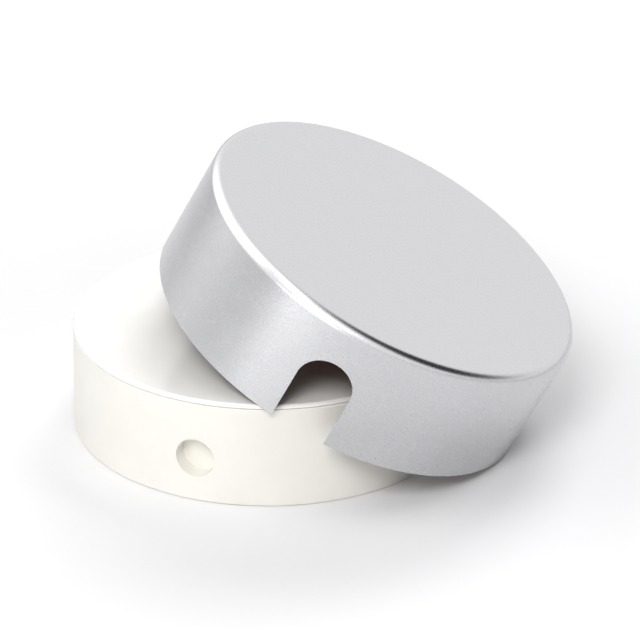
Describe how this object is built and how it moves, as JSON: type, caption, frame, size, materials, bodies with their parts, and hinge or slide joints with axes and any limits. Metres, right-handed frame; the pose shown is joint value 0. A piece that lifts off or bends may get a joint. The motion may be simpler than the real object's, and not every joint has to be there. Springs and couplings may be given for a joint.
{
  "type": "surface junction box",
  "caption": "Round surface junction box with a flush lid, side knock-outs and a separate satin metal slip-on cover with an arched cable notch, leaning on the box.",
  "frame": {"origin": "centre of the box's back, the flat face that goes against the ceiling or wall", "axes": "+Z from the back to the lid, -Y to the knock-out beside the cord clamp, +X to the side where the leaning cover stands on the floor"},
  "size_m": [0.0999, 0.0826, 0.0583],
  "materials": {
    "shell_plastic": "satin moulded plastic, warm white",
    "lid_plastic": "glossy moulded plastic, warm white",
    "cover_metal": "fine satin outside, plain drawn sheet inside",
    "strip_plastic": "natural nylon",
    "tube_brass": "turned",
    "screw_steel": "zinc plated",
    "clamp_plastic": "moulded plastic"
  },
  "bodies": {
    "box": {"box_base": "shell_plastic", "box_wall": "shell_plastic", "strip_boss_left": "shell_plastic", "strip_boss_right": "shell_plastic", "clamp_post_left": "shell_plastic", "clamp_post_right": "shell_plastic", "cord_cradle": "shell_plastic", "terminal_strip": "strip_plastic", "terminal_tube_1": "tube_brass", "terminal_tube_2": "tube_brass", "terminal_tube_3": "tube_brass", "terminal_tube_4": "tube_brass", "terminal_tube_5": "tube_brass", "strip_screw_left": "screw_steel", "strip_screw_right": "screw_steel"},
    "lid": {"box_lid": "lid_plastic", "outer_cover": "cover_metal"},
    "cord_clamp": {"cord_clamp_bar": "clamp_plastic", "cord_clamp_screw_left": "screw_steel", "cord_clamp_screw_right": "screw_steel"},
    "screw_1_front": {"terminal_screw_1_front": "screw_steel"},
    "screw_1_back": {"terminal_screw_1_back": "screw_steel"},
    "screw_2_front": {"terminal_screw_2_front": "screw_steel"},
    "screw_2_back": {"terminal_screw_2_back": "screw_steel"},
    "screw_3_front": {"terminal_screw_3_front": "screw_steel"},
    "screw_3_back": {"terminal_screw_3_back": "screw_steel"},
    "screw_4_front": {"terminal_screw_4_front": "screw_steel"},
    "screw_4_back": {"terminal_screw_4_back": "screw_steel"},
    "screw_5_front": {"terminal_screw_5_front": "screw_steel"},
    "screw_5_back": {"terminal_screw_5_back": "screw_steel"}
  },
  "joints": [
    {"name": "lid_lift", "type": "slide", "parent": "box", "child": "lid", "axis": [0, 0, 1], "range_m": [0, 0.035]},
    {"name": "cord_clamp_lift", "type": "slide", "parent": "box", "child": "cord_clamp", "axis": [0, 0, 1], "range_m": [0, 0.005]},
    {"name": "screw_1_front_travel", "type": "slide", "parent": "box", "child": "screw_1_front", "axis": [0, 0, 1], "range_m": [0, 0.003]},
    {"name": "screw_1_back_travel", "type": "slide", "parent": "box", "child": "screw_1_back", "axis": [0, 0, 1], "range_m": [0, 0.003]},
    {"name": "screw_2_front_travel", "type": "slide", "parent": "box", "child": "screw_2_front", "axis": [0, 0, 1], "range_m": [0, 0.003]},
    {"name": "screw_2_back_travel", "type": "slide", "parent": "box", "child": "screw_2_back", "axis": [0, 0, 1], "range_m": [0, 0.003]},
    {"name": "screw_3_front_travel", "type": "slide", "parent": "box", "child": "screw_3_front", "axis": [0, 0, 1], "range_m": [0, 0.003]},
    {"name": "screw_3_back_travel", "type": "slide", "parent": "box", "child": "screw_3_back", "axis": [0, 0, 1], "range_m": [0, 0.003]},
    {"name": "screw_4_front_travel", "type": "slide", "parent": "box", "child": "screw_4_front", "axis": [0, 0, 1], "range_m": [0, 0.003]},
    {"name": "screw_4_back_travel", "type": "slide", "parent": "box", "child": "screw_4_back", "axis": [0, 0, 1], "range_m": [0, 0.003]},
    {"name": "screw_5_front_travel", "type": "slide", "parent": "box", "child": "screw_5_front", "axis": [0, 0, 1], "range_m": [0, 0.003]},
    {"name": "screw_5_back_travel", "type": "slide", "parent": "box", "child": "screw_5_back", "axis": [0, 0, 1], "range_m": [0, 0.003]}
  ]
}
